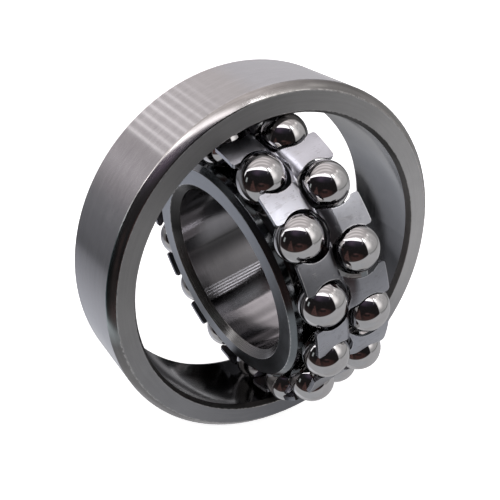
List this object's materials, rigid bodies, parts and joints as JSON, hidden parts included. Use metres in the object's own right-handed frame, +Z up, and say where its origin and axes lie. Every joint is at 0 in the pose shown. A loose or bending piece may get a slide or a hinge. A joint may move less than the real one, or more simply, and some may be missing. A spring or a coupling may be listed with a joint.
{
  "type": "self-aligning ball bearing",
  "caption": "Self-aligning ball bearing: an outer ring with a spherical raceway, and a grooved inner ring, pressed cage and staggered ball rows swivelled out of it.",
  "frame": {"origin": "common centre of the outer ring's raceway sphere and the inner ring, on the outer ring's axis halfway across its width", "axes": "+Z up, the outer ring stands upright with its axis along Y and its front face towards -Y; the inner set is turned 86.2 degrees about an axis that leans 11.6 degrees from +Z towards -X"},
  "size_m": [0.062, 0.0538, 0.062],
  "materials": {
    "ring_steel": "ground bearing steel: fine ground outside, faces and bore, polished raceways",
    "ball_steel": "lapped, mirror bright",
    "cage_steel": "pressed steel strip, satin, bright cut edges"
  },
  "bodies": {
    "outer_ring": {"outer_ring": "ring_steel"},
    "cage": {"cage": "cage_steel"},
    "inner_ring": {"inner_ring": "ring_steel"},
    "ball_a_01": {"ball_a_01": "ball_steel"},
    "ball_a_02": {"ball_a_02": "ball_steel"},
    "ball_a_03": {"ball_a_03": "ball_steel"},
    "ball_a_04": {"ball_a_04": "ball_steel"},
    "ball_a_05": {"ball_a_05": "ball_steel"},
    "ball_a_06": {"ball_a_06": "ball_steel"},
    "ball_a_07": {"ball_a_07": "ball_steel"},
    "ball_a_08": {"ball_a_08": "ball_steel"},
    "ball_a_09": {"ball_a_09": "ball_steel"},
    "ball_a_10": {"ball_a_10": "ball_steel"},
    "ball_a_11": {"ball_a_11": "ball_steel"},
    "ball_a_12": {"ball_a_12": "ball_steel"},
    "ball_a_13": {"ball_a_13": "ball_steel"},
    "ball_a_14": {"ball_a_14": "ball_steel"},
    "ball_b_01": {"ball_b_01": "ball_steel"},
    "ball_b_02": {"ball_b_02": "ball_steel"},
    "ball_b_03": {"ball_b_03": "ball_steel"},
    "ball_b_04": {"ball_b_04": "ball_steel"},
    "ball_b_05": {"ball_b_05": "ball_steel"},
    "ball_b_06": {"ball_b_06": "ball_steel"},
    "ball_b_07": {"ball_b_07": "ball_steel"},
    "ball_b_08": {"ball_b_08": "ball_steel"},
    "ball_b_09": {"ball_b_09": "ball_steel"},
    "ball_b_10": {"ball_b_10": "ball_steel"},
    "ball_b_11": {"ball_b_11": "ball_steel"},
    "ball_b_12": {"ball_b_12": "ball_steel"},
    "ball_b_13": {"ball_b_13": "ball_steel"},
    "ball_b_14": {"ball_b_14": "ball_steel"}
  },
  "joints": [
    {"name": "swivel", "type": "hinge", "parent": "outer_ring", "child": "cage", "pos_m": [0, 0, 0], "axis": [-0.2011, 0, 0.9796], "continuous": true},
    {"name": "inner_ring_spin", "type": "hinge", "parent": "cage", "child": "inner_ring", "pos_m": [0, 0, 0], "axis": [-0.9774, -0.0663, -0.2006], "continuous": true},
    {"name": "ball_a_01_roll", "type": "hinge", "parent": "cage", "child": "ball_a_01", "pos_m": [-0.00716, -0.01149, 0.01912], "axis": [-0.9396, 0.016, -0.342], "continuous": true},
    {"name": "ball_a_02_roll", "type": "hinge", "parent": "cage", "child": "ball_a_02", "pos_m": [-0.00528, -0.01911, 0.01248], "axis": [-0.9532, 0.0712, -0.2939], "continuous": true},
    {"name": "ball_a_03_roll", "type": "hinge", "parent": "cage", "child": "ball_a_03", "pos_m": [-0.00311, -0.023, 0.00321], "axis": [-0.9689, 0.0994, -0.2268], "continuous": true},
    {"name": "ball_a_04_roll", "type": "hinge", "parent": "cage", "child": "ball_a_04", "pos_m": [-0.00109, -0.02238, -0.00685], "axis": [-0.9835, 0.0949, -0.1539], "continuous": true},
    {"name": "ball_a_05_roll", "type": "hinge", "parent": "cage", "child": "ball_a_05", "pos_m": [0.00039, -0.01738, -0.01571], "axis": [-0.9942, 0.0587, -0.0897], "continuous": true},
    {"name": "ball_a_06_roll", "type": "hinge", "parent": "cage", "child": "ball_a_06", "pos_m": [0.00104, -0.00899, -0.02161], "axis": [-0.9989, -0.0021, -0.047], "continuous": true},
    {"name": "ball_a_07_roll", "type": "hinge", "parent": "cage", "child": "ball_a_07", "pos_m": [0.00071, 0.00113, -0.02339], "axis": [-0.9966, -0.0754, -0.0341], "continuous": true},
    {"name": "ball_a_08_roll", "type": "hinge", "parent": "cage", "child": "ball_a_08", "pos_m": [-0.00051, 0.01097, -0.0207], "axis": [-0.9877, -0.1467, -0.0536], "continuous": true},
    {"name": "ball_a_09_roll", "type": "hinge", "parent": "cage", "child": "ball_a_09", "pos_m": [-0.00239, 0.01859, -0.01405], "axis": [-0.9741, -0.2019, -0.1017], "continuous": true},
    {"name": "ball_a_10_roll", "type": "hinge", "parent": "cage", "child": "ball_a_10", "pos_m": [-0.00455, 0.02248, -0.00479], "axis": [-0.9584, -0.23, -0.1688], "continuous": true},
    {"name": "ball_a_11_roll", "type": "hinge", "parent": "cage", "child": "ball_a_11", "pos_m": [-0.00658, 0.02186, 0.00527], "axis": [-0.9438, -0.2256, -0.2417], "continuous": true},
    {"name": "ball_a_12_roll", "type": "hinge", "parent": "cage", "child": "ball_a_12", "pos_m": [-0.00806, 0.01686, 0.01413], "axis": [-0.9331, -0.1893, -0.3059], "continuous": true},
    {"name": "ball_a_13_roll", "type": "hinge", "parent": "cage", "child": "ball_a_13", "pos_m": [-0.0087, 0.00847, 0.02004], "axis": [-0.9284, -0.1286, -0.3486], "continuous": true},
    {"name": "ball_a_14_roll", "type": "hinge", "parent": "cage", "child": "ball_a_14", "pos_m": [-0.00838, -0.00165, 0.02182], "axis": [-0.9307, -0.0553, -0.3615], "continuous": true},
    {"name": "ball_b_01_roll", "type": "hinge", "parent": "cage", "child": "ball_b_01", "pos_m": [-0.00021, -0.00621, 0.02259], "axis": [-0.9929, -0.1122, -0.0399], "continuous": true},
    {"name": "ball_b_02_roll", "type": "hinge", "parent": "cage", "child": "ball_b_02", "pos_m": [0.00139, -0.01517, 0.0178], "axis": [-0.9814, -0.1771, -0.0746], "continuous": true},
    {"name": "ball_b_03_roll", "type": "hinge", "parent": "cage", "child": "ball_b_03", "pos_m": [0.00346, -0.02107, 0.00964], "axis": [-0.9663, -0.2198, -0.1337], "continuous": true},
    {"name": "ball_b_04_roll", "type": "hinge", "parent": "cage", "child": "ball_b_04", "pos_m": [0.00561, -0.02275, -0.00027], "axis": [-0.9508, -0.232, -0.2055], "continuous": true},
    {"name": "ball_b_05_roll", "type": "hinge", "parent": "cage", "child": "ball_b_05", "pos_m": [0.0074, -0.01987, -0.00997], "axis": [-0.9378, -0.2111, -0.2757], "continuous": true},
    {"name": "ball_b_06_roll", "type": "hinge", "parent": "cage", "child": "ball_b_06", "pos_m": [0.00849, -0.013, -0.01755], "axis": [-0.9299, -0.1614, -0.3306], "continuous": true},
    {"name": "ball_b_07_roll", "type": "hinge", "parent": "cage", "child": "ball_b_07", "pos_m": [0.00866, -0.00351, -0.02149], "axis": [-0.9287, -0.0926, -0.3591], "continuous": true},
    {"name": "ball_b_08_roll", "type": "hinge", "parent": "cage", "child": "ball_b_08", "pos_m": [0.00787, 0.00673, -0.02102], "axis": [-0.9344, -0.0185, -0.3557], "continuous": true},
    {"name": "ball_b_09_roll", "type": "hinge", "parent": "cage", "child": "ball_b_09", "pos_m": [0.00628, 0.01569, -0.01623], "axis": [-0.9459, 0.0464, -0.321], "continuous": true},
    {"name": "ball_b_10_roll", "type": "hinge", "parent": "cage", "child": "ball_b_10", "pos_m": [0.0042, 0.02159, -0.00807], "axis": [-0.961, 0.0892, -0.2619], "continuous": true},
    {"name": "ball_b_11_roll", "type": "hinge", "parent": "cage", "child": "ball_b_11", "pos_m": [0.00205, 0.02327, 0.00184], "axis": [-0.9765, 0.1013, -0.1902], "continuous": true},
    {"name": "ball_b_12_roll", "type": "hinge", "parent": "cage", "child": "ball_b_12", "pos_m": [0.00026, 0.02039, 0.01155], "axis": [-0.9895, 0.0804, -0.1199], "continuous": true},
    {"name": "ball_b_13_roll", "type": "hinge", "parent": "cage", "child": "ball_b_13", "pos_m": [-0.00083, 0.01352, 0.01912], "axis": [-0.9974, 0.0307, -0.065], "continuous": true},
    {"name": "ball_b_14_roll", "type": "hinge", "parent": "cage", "child": "ball_b_14", "pos_m": [-0.001, 0.00402, 0.02306], "axis": [-0.9986, -0.0381, -0.0365], "continuous": true}
  ],
  "couplings": [
    {"joint": "ball_a_01_roll", "follows": "inner_ring_spin", "ratio": -5.1406},
    {"joint": "ball_a_02_roll", "follows": "inner_ring_spin", "ratio": -5.1406},
    {"joint": "ball_a_03_roll", "follows": "inner_ring_spin", "ratio": -5.1406},
    {"joint": "ball_a_04_roll", "follows": "inner_ring_spin", "ratio": -5.1406},
    {"joint": "ball_a_05_roll", "follows": "inner_ring_spin", "ratio": -5.1406},
    {"joint": "ball_a_06_roll", "follows": "inner_ring_spin", "ratio": -5.1406},
    {"joint": "ball_a_07_roll", "follows": "inner_ring_spin", "ratio": -5.1406},
    {"joint": "ball_a_08_roll", "follows": "inner_ring_spin", "ratio": -5.1406},
    {"joint": "ball_a_09_roll", "follows": "inner_ring_spin", "ratio": -5.1406},
    {"joint": "ball_a_10_roll", "follows": "inner_ring_spin", "ratio": -5.1406},
    {"joint": "ball_a_11_roll", "follows": "inner_ring_spin", "ratio": -5.1406},
    {"joint": "ball_a_12_roll", "follows": "inner_ring_spin", "ratio": -5.1406},
    {"joint": "ball_a_13_roll", "follows": "inner_ring_spin", "ratio": -5.1406},
    {"joint": "ball_a_14_roll", "follows": "inner_ring_spin", "ratio": -5.1406},
    {"joint": "ball_b_01_roll", "follows": "inner_ring_spin", "ratio": -5.1406},
    {"joint": "ball_b_02_roll", "follows": "inner_ring_spin", "ratio": -5.1406},
    {"joint": "ball_b_03_roll", "follows": "inner_ring_spin", "ratio": -5.1406},
    {"joint": "ball_b_04_roll", "follows": "inner_ring_spin", "ratio": -5.1406},
    {"joint": "ball_b_05_roll", "follows": "inner_ring_spin", "ratio": -5.1406},
    {"joint": "ball_b_06_roll", "follows": "inner_ring_spin", "ratio": -5.1406},
    {"joint": "ball_b_07_roll", "follows": "inner_ring_spin", "ratio": -5.1406},
    {"joint": "ball_b_08_roll", "follows": "inner_ring_spin", "ratio": -5.1406},
    {"joint": "ball_b_09_roll", "follows": "inner_ring_spin", "ratio": -5.1406},
    {"joint": "ball_b_10_roll", "follows": "inner_ring_spin", "ratio": -5.1406},
    {"joint": "ball_b_11_roll", "follows": "inner_ring_spin", "ratio": -5.1406},
    {"joint": "ball_b_12_roll", "follows": "inner_ring_spin", "ratio": -5.1406},
    {"joint": "ball_b_13_roll", "follows": "inner_ring_spin", "ratio": -5.1406},
    {"joint": "ball_b_14_roll", "follows": "inner_ring_spin", "ratio": -5.1406}
  ]
}
